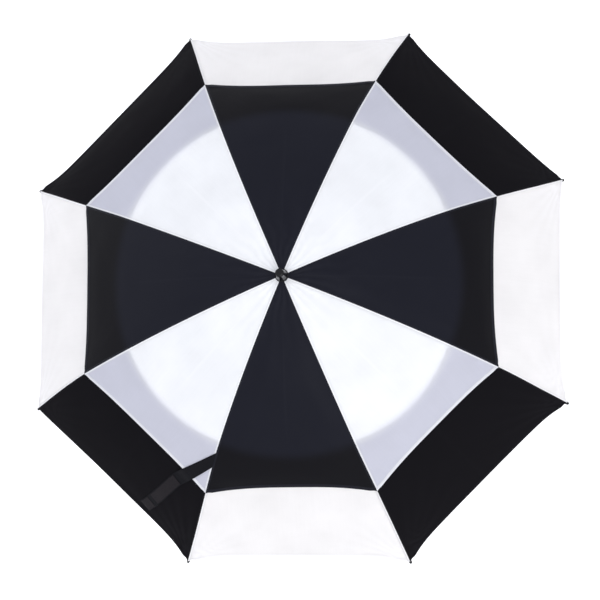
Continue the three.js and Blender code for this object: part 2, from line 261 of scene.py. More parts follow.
def foam_material(name, colour):
    m = Nodes(name)
    cells = m.add("ShaderNodeTexVoronoi", Vector=m.place(), Scale=1500.0)
    broad = m.noise(m.place(), 45.0, 4.0)
    # Painted shade: the foam is darker at its cell centres, the pits of the bump below.
    raised = m.ramp(cells.outputs["Distance"], [(0.1, 0.0), (0.6, 1.0)])
    base = m.mix(raised, tuple(0.55 * c for c in colour), colour)
    base = m.mix(0.5, base, m.ramp(broad, [(0.3, 0.75), (0.7, 1.0)]), "MULTIPLY")
    pores = m.math("MULTIPLY", cells.outputs["Distance"], 0.00025)
    height = m.math("ADD", pores, m.math("MULTIPLY", broad, 0.0004))
    normal = m.bump(height, 1.0)
    shader = m.add("ShaderNodeBsdfPrincipled", **{"Base Color": base, "Roughness": 0.88, "Normal": normal})
    shader.inputs["Sheen Weight"].default_value = 0.15
    return m.surface(shader)


def webbing_material(name, colour, pitch, fuzz):
    m = Nodes(name)
    threads = m.uv((pitch, pitch, 1))
    warp = m.add("ShaderNodeTexWave", Vector=threads, Scale=1.0, Distortion=0.6, Detail=2.0)
    weft = m.add("ShaderNodeTexWave", Vector=threads, Scale=1.0, Distortion=0.6, Detail=2.0)
    weft.bands_direction = "Y"
    weave = m.math("MULTIPLY", warp.outputs["Fac"], weft.outputs["Fac"])
    hair = m.noise(m.uv((1, 1, 1)), 900.0, 4.0, 0.7)
    dark, light = tuple(0.6 * c for c in colour), tuple(1.6 * c for c in colour)
    base = m.mix(m.math("MULTIPLY", weave, 0.6), dark, light)
    base = m.mix(m.math("MULTIPLY", hair, fuzz), base, tuple(min(1, 2.6 * c + 0.02) for c in colour))
    height = m.math("ADD", m.math("MULTIPLY", weave, 0.00015), m.math("MULTIPLY", hair, 0.0005 * fuzz))
    normal = m.bump(height, 1.0)
    shader = m.add("ShaderNodeBsdfPrincipled", **{"Base Color": base, "Roughness": 0.8, "Normal": normal})
    shader.inputs["Sheen Weight"].default_value = 0.02
    shader.inputs["Specular IOR Level"].default_value = 0.04
    return m.surface(shader)


def plain_material(name, colour, emission):
    m = Nodes(name)
    tone = m.noise(m.place(), 1.5, 2.0)
    base = m.mix(m.ramp(tone, [(0.3, 0.0), (0.7, 1.0)]), colour, tuple(0.99 * c for c in colour))
    shader = m.add("ShaderNodeBsdfPrincipled", **{"Base Color": base, "Roughness": 0.9})
    shader.inputs["Emission Color"].default_value = (1, 1, 1, 1)
    shader.inputs["Emission Strength"].default_value = emission
    return m.surface(shader)


WHITE_CLOTH = cloth_material(
    "white_canopy_cloth", (0.90, 0.905, 0.92), (0.735, 0.738, 0.825),
    through=0.38, sheen=0.10, rough=0.5, specular=0.3, highlight_lines=(0.98, 0.98, 0.99),
)
WHITE_BAND = cloth_material(
    "white_band_cloth", (0.90, 0.885, 0.88), (0.90, 0.885, 0.88),
    through=0.38, sheen=0.10, rough=0.5, specular=0.3, highlight_lines=(0.96, 0.95, 0.96),
)
BLACK_CLOTH = cloth_material(
    "black_canopy_cloth", (0.0075, 0.0080, 0.0140), (0.0035, 0.0032, 0.0050),
    through=0.012, sheen=0.01, rough=0.45, specular=0.09, highlight_lines=(0.0135, 0.0140, 0.0210),
)
BLACK_BAND = cloth_material(
    "black_band_cloth", (0.0078, 0.0073, 0.0088), (0.0078, 0.0073, 0.0088),
    through=0.010, sheen=0.0, rough=0.42, specular=0.004, highlight_lines=(0.0125, 0.0120, 0.0140),
)
STEEL = steel_material("plated_steel", (0.62, 0.63, 0.65), 0.22)
FIBRE = plastic_material("black_fibreglass", (0.02, 0.02, 0.022), 0.26, 0.00002, 700, 0.5, 0.3)
PLASTIC = plastic_material("black_moulded_plastic", (0.006, 0.006, 0.007), 0.17, 0.00001, 500, 0.2, 0.0)
FOAM = foam_material("foam_grip", (0.030, 0.030, 0.032))
WEBBING = webbing_material("black_strap_webbing", (0.0080, 0.0080, 0.0105), 1500, 0.10)
LOOPS = webbing_material("loop_patch", (0.0125, 0.0105, 0.0130), 700, 0.30)
THREAD = webbing_material("thread", (0.010, 0.010, 0.012), 3000, 0.2)
PALE = plain_material("pale_floor", (0.93, 0.93, 0.94), 0.42)


# ---------------------------------------------------------------- mesh helpers
def make(name, points, faces, material, smooth_faces=True):
    mesh = bpy.data.meshes.new(name)
    mesh.from_pydata([tuple(map(float, p)) for p in points], [], faces)
    mesh.validate()
    obj = bpy.data.objects.new(name, mesh)
    bpy.context.scene.collection.objects.link(obj)
    mesh.materials.append(material)
    for polygon in mesh.polygons:
        polygon.use_smooth = smooth_faces
    return obj


def turn(points, angle):
    c, s = math.cos(angle), math.sin(angle)
    p = np.asarray(points, float)
    return np.stack([p[..., 0] * c - p[..., 1] * s, p[..., 0] * s + p[..., 1] * c, p[..., 2]], -1)


def sharpen(obj, degrees=35):
    """Marks hard edges so that smooth shading keeps them."""
    mesh = obj.data
    bm = bmesh.new()
    bm.from_mesh(mesh)
    for edge in bm.edges:
        edge.smooth = len(edge.link_faces) == 2 and edge.calc_face_angle(0) < math.radians(degrees)
    bm.to_mesh(mesh)
    bm.free()


def bevel(obj, width, segments=2, degrees=35):
    modifier = obj.modifiers.new("edge", "BEVEL")
    modifier.width = width
    modifier.segments = segments
    modifier.limit_method = "ANGLE"
    modifier.angle_limit = math.radians(degrees)
    modifier.harden_normals = False


def lathe(name, profile, material, sides=96):
    """A smooth body of revolution about Z from a closed list of (radius, height)."""
    points, rows = [], []
    round_angles = [2 * math.pi * j / sides for j in range(sides)]
    for r, z in profile:
        if r < 1e-6:
            rows.append([len(points)] * sides)
            points.append((0, 0, z))
        else:
            rows.append(list(range(len(points), len(points) + sides)))
            points += [(r * math.cos(a), r * math.sin(a), z) for a in round_angles]
    faces = []
    for a, b in zip(rows, rows[1:] + rows[:1]):
        for j in range(sides):
            k = (j + 1) % sides
            face = list(dict.fromkeys([a[j], a[k], b[k], b[j]]))
            if len(face) > 2:
                faces.append(face)
    obj = make(name, points, faces, material)
    sharpen(obj, 30)
    return obj


def rounded(profile, radius=0.0005, steps=3):
    """Rounds each corner of a closed profile by up to radius."""
    out = []
    n = len(profile)
    for i, p in enumerate(profile):
        p = np.array(p, float)
        a, b = np.array(profile[i - 1], float) - p, np.array(profile[(i + 1) % n], float) - p
        la, lb = np.linalg.norm(a), np.linalg.norm(b)
        if p[0] < 1e-6 or la < 1e-9 or lb < 1e-9 or abs(np.dot(a, b) / la / lb) > 0.985:
            out.append(tuple(p))
            continue
        cut = min(radius, 0.45 * la, 0.45 * lb)
        start, end = p + a / la * cut, p + b / lb * cut
        for k in range(steps + 1):
            t = k / steps
            out.append(tuple((1 - t) ** 2 * start + 2 * t * (1 - t) * p + t * t * end))
    return out


def tube(path, radius, sides, name, material, caps=True):
    """A round bar along a path of points, with one radius or one for each point."""
    path = np.asarray(path, float)
    radii = np.broadcast_to(radius, len(path))
    tangent = np.gradient(path, axis=0)
    tangent /= np.linalg.norm(tangent, axis=1)[:, None]
    up = np.array([0.0, 0.0, 1.0]) if abs(tangent[0][2]) < 0.9 else np.array([1.0, 0.0, 0.0])
    points = []
    for p, t, r in zip(path, tangent, radii):
        side = np.cross(t, up)
        side /= np.linalg.norm(side)
        up = np.cross(side, t)
        for j in range(sides):
            a = 2 * math.pi * j / sides
            points.append(p + r * (math.cos(a) * up + math.sin(a) * side))
    faces = []
    for i in range(len(path) - 1):
        for j in range(sides):
            k = (j + 1) % sides
            faces.append([i * sides + j, i * sides + k, (i + 1) * sides + k, (i + 1) * sides + j])
    if caps:
        faces.append(list(range(sides))[::-1])
        faces.append([(len(path) - 1) * sides + j for j in range(sides)])
    return make(name, points, faces, material)


def join(name, objects):
    """One mesh out of several, keeping their materials."""
    first = objects[0]
    chosen = {"selected_editable_objects": objects, "selected_objects": objects}
    with bpy.context.temp_override(active_object=first, object=first, **chosen):
        bpy.ops.object.join()
    first.name = name
    return first


def cut_boxes(obj, boxes):
    """Cuts boxes, each (low, high, angle about Z), out of a mesh."""
    points, faces = [], []
    for low, high, angle in boxes:
        base = len(points)
        corners = [(x, y, z) for x in (low[0], high[0]) for y in (low[1], high[1]) for z in (low[2], high[2])]
        points += list(turn(corners, angle))
        for f in ((0, 1, 3, 2), (4, 6, 7, 5), (0, 4, 5, 1), (2, 3, 7, 6), (0, 2, 6, 4), (1, 5, 7, 3)):
            faces.append([base + i for i in f])
    cutter = make("cutter", points, faces, obj.data.materials[0], False)
    modifier = obj.modifiers.new("cut", "BOOLEAN")
    modifier.operation = "DIFFERENCE"
    modifier.solver = "EXACT"
    modifier.object = cutter
    depsgraph = bpy.context.evaluated_depsgraph_get()
    mesh = bpy.data.meshes.new_from_object(obj.evaluated_get(depsgraph))
    obj.modifiers.clear()
    old = obj.data
    obj.data = mesh
    bpy.data.meshes.remove(old)
    bpy.data.objects.remove(cutter, do_unlink=True)
    sharpen(obj, 30)


def value_noise(x, y, seed):
    """Smooth repeatable noise from -1 to 1 on a plane."""
    def corner(i, j):
        h = np.sin(i * 127.1 + j * 311.7 + seed * 74.7) * 43758.5453
        return 2 * (h - np.floor(h)) - 1
    i, j = np.floor(x), np.floor(y)
    u, v = smooth(x - i), smooth(y - j)
    a, b = corner(i, j), corner(i + 1, j)
    c, d = corner(i, j + 1), corner(i + 1, j + 1)
    return a + (b - a) * u + (c - a) * v + (a - b - c + d) * u * v


# ---------------------------------------------------------------- canopies
# Small irregularities of the cloth, rounded from measurements of the pictured umbrella. The seam
# over each rib bows sideways along its inner stretch and drifts over its outer one, positive anticlockwise
# seen from above.
SEAM_BOW = {1: 0.003, 2: 0, 3: 0.0035, 4: 0.0015, 5: -0.0005, 6: -0.003, 7: 0, 8: 0.0035}
SEAM_DRIFT = {1: -0.0015, 2: 0, 3: 0, 4: 0.002, 5: 0, 6: 0.003, 7: 0.0015, 8: 0}
SEAM_BOW_END = 0.64
SEAM_DRIFT_FROM = 0.40
# Ribs that the cloth pulls sideways towards their tips: where that starts, and how far the tip goes.
RIB_SWAY = {2: (0.40, -0.012), 5: (0.53, 0.009), 8: (0.53, -0.004)}
# How far each upper hem corner is let out beyond UPPER_HEM at its rib, and each hem's depth at mid-gore.
HEM_CORNER = {1: 0.0015, 2: 0.004, 3: 0.0065, 4: 0.009, 5: 0.009, 6: -0.001, 7: -0.0055, 8: -0.0045}
UPPER_DEPTH = {1: 0.008, 2: 0.014, 3: 0.0095, 4: 0.0105, 5: 0.008, 6: 0.014, 7: 0.0095, 8: 0.0125}
LOWER_DEPTH = {1: 0.012, 2: 0.029, 3: 0.024, 4: 0.018, 5: 0.012, 6: 0.020, 7: 0.020, 8: 0.016}
# How far each lower hem runs further out towards its higher-numbered rib.
LOWER_LEAN = {1: -0.004, 2: 0.003, 3: -0.005, 4: 0.005, 5: -0.011, 6: 0, 7: 0, 8: 0.005}
# Height of the crease pressed down the middle of each gore, and the mesh's steps in from a seam and a hem.
FOLD_RIDGE = 0.00015
SEAM_STEPS = np.array([0, 0.8, 1.8, 3.0, 4.0, 5.0, 7.0]) / 1000
HEM_STEPS = np.array([0, 0.8, 2.5, 4.5, 6.5, 8.0, 9.2, 11.0]) / 1000


def rib_of(gore, side):
    """Number of the rib at the gore's lower (-1) or higher (1) azimuth edge."""
    return gore if side < 0 else gore % GORES + 1


def rib_sway(rib, s):
    """How far rib number rib leans sideways at arc length s."""
    start, reach = RIB_SWAY.get(rib, (0.5, 0.0))
    return reach * np.clip((np.asarray(s, float) - start) / (RIB_LENGTH - start), 0, None) ** 1.1


def seam_shift(rib, s):
    """Sideways place of the seam over a rib, its rib's lean included."""
    inner = np.sin(math.pi * np.clip(s / SEAM_BOW_END, 0, 1))
    outer = np.sin(math.pi * np.clip((s - SEAM_DRIFT_FROM) / (RIB_LENGTH - SEAM_DRIFT_FROM), 0, 1))
    return SEAM_BOW[rib] * inner + SEAM_DRIFT[rib] * outer + rib_sway(rib, s)


def upper_end(v, gore):
    """Arc length of the upper hem at v."""
    low, high = HEM_CORNER[rib_of(gore, -1)], HEM_CORNER[rib_of(gore, 1)]
    return UPPER_HEM + low + (high - low) * (v + 1) / 2 - UPPER_DEPTH[gore] * (1 - np.abs(v) ** 3)


def lower_end(v, gore):
    """Arc length of the lower hem at v."""
    return RIB_LENGTH - TIP_MARGIN - (LOWER_DEPTH[gore] - LOWER_LEAN[gore] * v) * (1 - np.abs(v) ** 8)


def vent_lift(s):
    """How far the upper canopy rises at mid-gore above its line between the ribs."""
    return VENT_LIFT * np.clip((s - LIFT_START) / (UPPER_HEM - LIFT_START), 0, None) ** 1.5


def tip_raise(s):
    """How far the lower canopy lifts to lie over the caps of the rib tips."""
    return 0.0018 * smooth((s - (RIB_LENGTH - 0.05)) / 0.035)


def gore_half(s):
    """Distance from a gore's fold line to its rib at arc length s."""
    return rib_point(s, 0.003)[0] * math.sin(HALF)


def vent_s(v):
    """Arc length of the vent's edge in the lower canopy at v."""
    needed = VENT_R / np.hypot(math.cos(HALF), v * math.sin(HALF))
    return (np.arcsin((needed - PIVOT_R) / ARC_R + math.sin(SLOPE_0)) - SLOPE_0) * ARC_R


def panel_points(s, y, off, lift, gore):
    """Places on the stretched cloth: s along the rib, y across from the fold line, off outward and
    lift upward at mid-gore."""
    r, z = rib_point(s, off)
    v = y / gore_half(s)
    place = np.stack([r * math.cos(HALF), v * r * math.sin(HALF), z + lift * np.clip(1 - v * v, 0, 1)], -1)
    place = turn(place, 2 * HALF * gore)
    for side in (-1, 1):
        azimuth = 2 * HALF * gore + side * HALF
        shift = seam_shift(rib_of(gore, side), s) * smooth(side * v) * (side * v > 0)
        place = place + shift[..., None] * np.array([-math.sin(azimuth), math.cos(azimuth), 0])
    return place


def relief(s, y, gore, side, upper, end):
    """How far the cloth stands off its stretched shape, outward, and the share of that in small ruffles."""
    width = gore_half(s)
    y = np.minimum(np.abs(y), width)
    from_rib, from_hem = width - y, end - s
    seed = gore * 2 + (side > 0) + (0 if upper else 31)

    # Puckers along the seam, deeper towards the crown.
    crown = np.exp(-s / 0.13)
    size = 0.0011 * np.exp(-from_rib / 0.016) * (0.18 + crown) * (1 - np.exp(-from_rib / 0.0015))
    wander = 5 * value_noise(s * 18, y * 4, seed)
    waves = np.sin(2 * math.pi * (s / 0.019 - 0.55 * from_rib / 0.019) + wander)
    ruffles = size * (0.5 + 0.5 * waves) * (0.6 + 0.4 * value_noise(s * 30, y * 6, seed + 3))

    # Gathers running out from the crown.
    spread = 11 * side * y / width + 3 * value_noise(s * 25, side * y * 30, gore) + gore
    near_crown = np.exp(-s / 0.075) * smooth(s / 0.03) * smooth(from_rib / 0.006)
    ruffles = ruffles + 0.0011 * (0.5 + 0.5 * np.sin(spread)) * near_crown

    # Pulls fanning from the hem's corner, strongest on the lower half gore that the strap lies on.
    corner = np.hypot(from_rib, from_hem)
    fan = np.arctan2(from_rib, np.abs(from_hem) + 1e-6)
    rays = 0.5 + 0.5 * np.sin(fan * 21 + seed)
    pull = (0.0011 if upper else 0.0020) * rays * smooth(corner / 0.012) * np.exp(-corner / 0.05)
    if gore == STRAP_GORE and side > 0 and not upper:
        pull = pull * 2.2
    ruffles = ruffles + pull * smooth(from_rib / 0.01)

    # Broad slack between the seams, and the pressed fold.
    slack = value_noise(s * 9 + 3, side * y * 7, gore + 11)
    slack = slack + 0.4 * value_noise(s * 23, side * y * 17, gore + 5)
    quiet = smooth(from_rib / 0.05) * smooth(s / 0.09) * smooth((from_hem + 0.01) / 0.05)
    bumps = ruffles + (0.0016 * slack + 0.0019) * quiet + FOLD_RIDGE * fold_ridge(s, y, upper)
    return bumps, np.clip(ruffles / 0.0009, 0, 1)


def fold_ridge(s, y, upper):
    """The crease pressed along the middle of each gore, 0 to 1."""
    ridge = np.exp(-((y / 0.0016) ** 2)) * smooth((s - 0.02) / 0.03)
    return ridge * (smooth((0.40 - s) / 0.12) if upper else 0.4)


def along_places(start, end, count):
    """Arc lengths from start to end for each column, closer together in the hem."""
    start, end = np.asarray(start, float)[None, :], np.asarray(end, float)[None, :]
    inner = start + np.linspace(0, 1, count + 1)[:-1, None] * (end - HEM_STEPS[-1] - start)
    return np.concatenate([inner, end - HEM_STEPS[::-1][:, None]], axis=0)


def closed_sheet(name, under_face, over_face, flip, material):
    """A closed mesh between two grids of points, its faces turned round where flip is true."""
    rows, columns = under_face.shape[:2]
    points = np.concatenate([under_face.reshape(-1, 3), over_face.reshape(-1, 3)])
    bottom = np.arange(rows * columns).reshape(rows, columns)
    top = bottom + rows * columns
    faces = []
    for i in range(rows - 1):
        for j in range(columns - 1):
            faces.append([top[i, j], top[i + 1, j], top[i + 1, j + 1], top[i, j + 1]])
            faces.append([bottom[i, j], bottom[i, j + 1], bottom[i + 1, j + 1], bottom[i + 1, j]])
    for i in range(rows - 1):
        faces.append([bottom[i, 0], bottom[i + 1, 0], top[i + 1, 0], top[i, 0]])
        faces.append([top[i, -1], top[i + 1, -1], bottom[i + 1, -1], bottom[i, -1]])
    for j in range(columns - 1):
        faces.append([top[0, j], top[0, j + 1], bottom[0, j + 1], bottom[0, j]])
        faces.append([bottom[-1, j], bottom[-1, j + 1], top[-1, j + 1], top[-1, j]])
    if flip:
        faces = [face[::-1] for face in faces]
    return make(name, points, [[int(i) for i in face] for face in faces], material)


def both_faces(values, shape):
    """A grid of values as one for each vertex of a closed sheet, the same on both its faces."""
    return np.concatenate([np.broadcast_to(values, shape).ravel()] * 2)


def add_cut(obj, s, y):
    """Gives a closed sheet the places of its points on the flat cut, in metres, as its UVs."""
    layer = obj.data.uv_layers.new(name="cut")
    corners = np.empty(len(obj.data.loops), np.int32)
    obj.data.loops.foreach_get("vertex_index", corners)
    flat = np.stack([both_faces(s, s.shape), both_faces(y, s.shape)], -1)[corners]
    layer.data.foreach_set("uv", flat.ravel().astype(np.float32))


def ride_fold(obj):
    """Bakes a closed sheet's placement into its mesh."""
    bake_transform(obj)


def panel_grid(gore, side, upper):
    """Arc lengths s and places y from the fold line, and where each column starts and ends."""
    rows, columns = (58, 22) if upper else (40, 24)
    share = np.concatenate([np.linspace(0, 0.965, columns), 1 - SEAM_STEPS[::-1] / 0.2])
    start = np.full_like(share, 0.001) if upper else vent_s(share)
    end = (upper_end if upper else lower_end)(side * share, gore)
    s = along_places(start, end, rows)
    width = gore_half(s)
    band = np.minimum(1.0, 0.5 * width / SEAM_STEPS[-1])
    y = np.empty_like(s)
    edge = width - band * SEAM_STEPS[-1]
    y[:, :columns] = np.linspace(0, 1, columns + 1)[None, :-1] * edge[:, :columns]
    y[:, columns:] = width[:, columns:] - band[:, columns:] * SEAM_STEPS[::-1][None, :]
    return s, y, start, end


def panel_marks(s, y, from_rib, from_hem, underlay_shade, highlight_lines):
    """What the cloth material reads: the painted shade where a second canopy lies under the cloth, the painted
    highlight lines, and the stitches' place and run.
    """
    in_seam = np.exp(-(((from_rib - 0.0040) / 0.0006) ** 2))
    in_hem = np.exp(-(((from_hem - 0.0078) / 0.0007) ** 2))
    stitch = np.where(in_hem > in_seam, y * 2100 / 6.28 * 3, s * 2100 / 6.28 * 3)
    return {"under": underlay_shade, "crease": highlight_lines, "seam": np.maximum(in_hem, in_seam), "stitch": stitch}


def panel(name, gore, half, upper, material):
    """Half of one gore, fold line to rib: a closed sheet with hem, seam edge, crease and wrinkles."""
    side = -1 if half == "a" else 1
    s, y, start, end = panel_grid(gore, side, upper)
    width = gore_half(s)
    from_rib, from_hem, from_vent = width - y, end[None, :] - s, s - start[None, :]

    # Cloth thickness: doubled at the hems and where two gores are felled together over the rib.
    hem = smooth((HEM_WIDTH - from_hem) / HEM_EDGE)
    seam = smooth((FELL_WIDTH - from_rib) / FELL_EDGE)
    if not upper:
        hem = np.maximum(hem, smooth((VENT_HEM_WIDTH - from_vent) / HEM_EDGE))
        seam = seam * smooth((s - UPPER_HEM - 0.004) / 0.006)
    thick = CLOTH + HEM_EXTRA * hem + FELL_EXTRA * seam

    bumps, ruffles = relief(s, y, gore, side, upper, end[None, :])
    if upper:
        off = UPPER_OFF + CROWN_RAISE * smooth(s / 0.03) + bumps
        lift = vent_lift(s)
    else:
        off = LOWER_OFF + bumps + tip_raise(s)
        lift = 0.0
    under_face = panel_points(s, side * y, off, lift, gore)
    over_face = panel_points(s, side * y, off + thick, lift, gore)
    obj = closed_sheet(name, under_face, over_face, side < 0, material)
    sharpen(obj, 60)

    add_cut(obj, s, side * y)
    plan = np.hypot(*np.moveaxis(over_face[..., :2], -1, 0))
    # Painted shade mask, 0 to 1, where the lower canopy lies under the upper cloth.
    underlay_shade = smooth((plan - VENT_R + 0.009) / 0.026) if upper else np.zeros_like(s)
    # Painted highlight mask: lighter lines along the pressed fold, seam edges, hems and wrinkles.
    ridge, fell = 0.25 * fold_ridge(s, y, upper), 0.9 * seam * smooth(s / 0.02)
    highlight_lines = np.maximum.reduce([ridge, fell, 0.8 * hem, 0.8 * ruffles * (1 - underlay_shade)])
    for key, values in panel_marks(s, y, from_rib, from_hem, underlay_shade, highlight_lines).items():
        layer = obj.data.attributes.new(key, "FLOAT", "POINT")
        layer.data.foreach_set("value", both_faces(values, s.shape).astype(np.float32))

    ride_fold(obj)
    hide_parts(f"upper_gore_{gore}" if upper else f"lower_gore_{gore}{half}")


# ---------------------------------------------------------------- ribs, stretchers and tips
TIE_PLACES = {1: 0.130, 2: 0.235, 4: 0.430, 5: 0.505, 6: 0.590, 7: 0.670}


def rib_rod(k, angle):
    """The fibreglass rod of rib k, which stands at angle about Z."""
    s = np.concatenate([[0.020], np.linspace(0.022, RIB_LENGTH - 0.006, 90), [RIB_LENGTH - 0.0052]])
    r, z = rib_point(s)
    radius = np.full(len(s), RIB_R)
    radius[[0, -1]] = RIB_R - 0.0003
    path = turn(np.stack([r, rib_sway(k, s), z], -1), angle)
    rod = tube(path, radius, 20, f"rib_{k}_rod", FIBRE)
    sharpen(rod, 50)
    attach(rod, f"rib_{k}")
    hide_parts(f"rib_{k}")


def plate(name, outline, half_width, material, holes=()):
    """A flat plate in the x-z plane, half_width to each side, with round holes (x, z, radius)."""
    bm = bmesh.new()
    hole_angles = [-2 * math.pi * i / 20 for i in range(20)]
    loops = [outline]
    for x, z, radius in holes:
        loops.append([(x + radius * math.cos(a), z + radius * math.sin(a)) for a in hole_angles])
    edges = []
    for loop in loops:
        verts = [bm.verts.new((x, -half_width, z)) for x, z in loop]
        edges += [bm.edges.new((verts[i - 1], verts[i])) for i in range(len(verts))]
    bmesh.ops.triangle_fill(bm, use_beauty=True, use_dissolve=False, edges=edges)
    extruded = bmesh.ops.extrude_face_region(bm, geom=bm.faces[:])
    moved = [g for g in extruded["geom"] if isinstance(g, bmesh.types.BMVert)]
    bmesh.ops.translate(bm, verts=moved, vec=(0, 2 * half_width, 0))
    bmesh.ops.recalc_face_normals(bm, faces=bm.faces[:])
    mesh = bpy.data.meshes.new(name)
    bm.to_mesh(mesh)
    bm.free()
    obj = bpy.data.objects.new(name, mesh)
    bpy.context.scene.collection.objects.link(obj)
    mesh.materials.append(material)
    return obj


def move(obj, function):
    """Maps every vertex of a mesh by a function of an (n, 3) array."""
    mesh = obj.data
    co = np.empty(len(mesh.vertices) * 3)
    mesh.vertices.foreach_get("co", co)
    mesh.vertices.foreach_set("co", np.asarray(function(co.reshape(-1, 3)), float).ravel())
    mesh.update()
    return obj


def eye_outline(length, height, radius, steps=14):
    """A bar from x = 0 to length whose near end is a round eye."""
    angles = np.linspace(0.32 * math.pi, 1.68 * math.pi, steps)
    arc = [(radius * math.cos(a), radius * math.sin(a)) for a in angles]
    return [(length, height), *arc, (length, -height)]


def tilt(points, slope, r, z):
    """Turns x-z plane points down by slope and moves them to (r, z)."""
    p = np.asarray(points, float)
    c, s = math.cos(slope), math.sin(slope)
    return np.stack([p[:, 0] * c + p[:, 2] * s + r, p[:, 1], -p[:, 0] * s + p[:, 2] * c + z], -1)


def rib_metal(k, angle):
    """The pressed steel eye at the notch and the clip with its lug at the stretcher joint."""
    eye = plate(f"rib_{k}_eye", eye_outline(0.0105, 0.0021, 0.0026), 0.0011, STEEL, [(0, 0, 0.0011)])
    move(eye, lambda p: tilt(p, SLOPE_0, PIVOT_R, PIVOT_Z))
    s = np.linspace(0.009, 0.030, 8)
    r, z = rib_point(s)
    sleeve_r = [0.0021, 0.00265] + [0.0027] * 5 + [0.0025]
    sleeve = tube(np.stack([r, 0 * r, z], -1), sleeve_r, 20, "sleeve", STEEL)
    eye = join(f"rib_{k}_eye", [eye, sleeve])
    move(eye, lambda p: turn(p, angle))
    sharpen(eye)
    lobe = [(0.0028 * math.cos(a), 0.0028 * math.sin(a)) for a in np.linspace(0, -math.pi, 12)]
    lug_outline = [(0.0034, 0.0058), *lobe, (-0.0034, 0.0058)]
    lug = plate(f"rib_{k}_lug", lug_outline, 0.00075, STEEL, [(0, 0, 0.0012)])
    move(lug, lambda p: tilt(p, JOINT_A, JOINT_R, JOINT_Z))
    s = np.linspace(JOINT_S - 0.0085, JOINT_S + 0.0085, 9)
    r, z = rib_point(s)
    clip = tube(np.stack([r, 0 * r, z], -1), [0.00235] + [0.0027] * 7 + [0.00235], 20, "clip", STEEL)
    lug = join(f"rib_{k}_lug", [lug, clip])
    move(lug, lambda p: turn(p, angle))
    sharpen(lug)
    for piece in (eye, lug):
        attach(piece, f"rib_{k}")
        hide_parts(f"rib_{k}")


def rib_ties(k, angle):
    """Thread wrapped round the rib where the canopy is tied to it. The stretcher's clip is at place 3."""
    for index, place in TIE_PLACES.items():
        s = np.linspace(place - 0.0022, place + 0.0022, 9)
        r, z = rib_point(s)
        wraps = RIB_R + 0.00022 + 0.00009 * np.cos(np.linspace(0, 6 * math.pi, 9))
        wraps[[0, -1]] = RIB_R + 0.00002
        path = turn(np.stack([r, rib_sway(k, s), z], -1), angle)
        tie = tube(path, wraps, 16, f"rib_{k}_tie_{index}", THREAD)
        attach(tie, f"rib_{k}")
        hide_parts(f"rib_{k}")


def rib_tip(k, angle):
    """The moulded cap with its ball, and the thread that sews the canopy's corner to it."""
    r, z = map(float, rib_point(RIB_LENGTH))
    aside = np.array([0, float(rib_sway(k, RIB_LENGTH)), 0])
    profile = [
        (0, 0.0066), (0.0010, 0.0065), (0.0019, 0.0061), (0.0027, 0.0053), (0.00325, 0.0042), (0.0034, 0.0032),
        (0.0033, 0.0022), (0.0029, 0.0012), (0.0025, 0.0004), (0.0024, 0), (0.0026, -0.0008), (0.0031, -0.0014),
        (0.0032, -0.0020), (0.0032, -0.0130), (0.0030, -0.0138), (0.00255, -0.0140), (0.00255, -0.0046),
        (0, -0.0046),
    ]
    cap = lathe(f"rib_tip_{k}_cap", rounded(profile, 0.0002, 2), PLASTIC, 36)
    move(cap, lambda p: tilt(np.stack([p[:, 2], p[:, 1], -p[:, 0]], -1), SLOPE_1, r, z))
    move(cap, lambda p: turn(p + aside, angle))
    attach(cap, f"rib_{k}")
    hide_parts(f"rib_tip_{k}")
    a = np.linspace(0, 2 * math.pi, 33)
    loop = np.stack([-0.0022 + 0.0006 * np.sin(3 * a), 0.0036 * np.cos(a), 0.0036 * np.sin(a)], -1)
    path = turn(tilt(loop, SLOPE_1, r, z) + aside, angle)
    thread = tube(path, 0.00028, 8, f"rib_tip_{k}_thread", THREAD, caps=False)
    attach(thread, f"rib_{k}")


def channel(name):
    """The stretcher's pressed channel, open downward, along x from its runner end."""
    w, h, t = 0.0018, 0.0021, 0.00055
    outside, inside = [(w, h), (w, -h)], [(w - t, -h), (w - t, h - t), (-w + t, h - t), (-w + t, -h)]
    section = [(-w, h), *outside, *inside, (-w, -h)]
    middle = np.linspace(0.036, STRETCHER - 0.018, 36)
    xs = np.concatenate([[0.0245, 0.027, 0.030], middle, [STRETCHER - 0.014]])
    points = [(x, y, z) for x in xs for y, z in section]
    n = len(section)
    faces = []
    for i in range(len(xs) - 1):
        for j in range(n):
            k = (j + 1) % n
            faces.append([i * n + j, (i + 1) * n + j, (i + 1) * n + k, i * n + k])
    faces.append(list(range(n)))
    faces.append([(len(xs) - 1) * n + j for j in range(n)][::-1])
    return make(name, points, faces, STEEL, False)


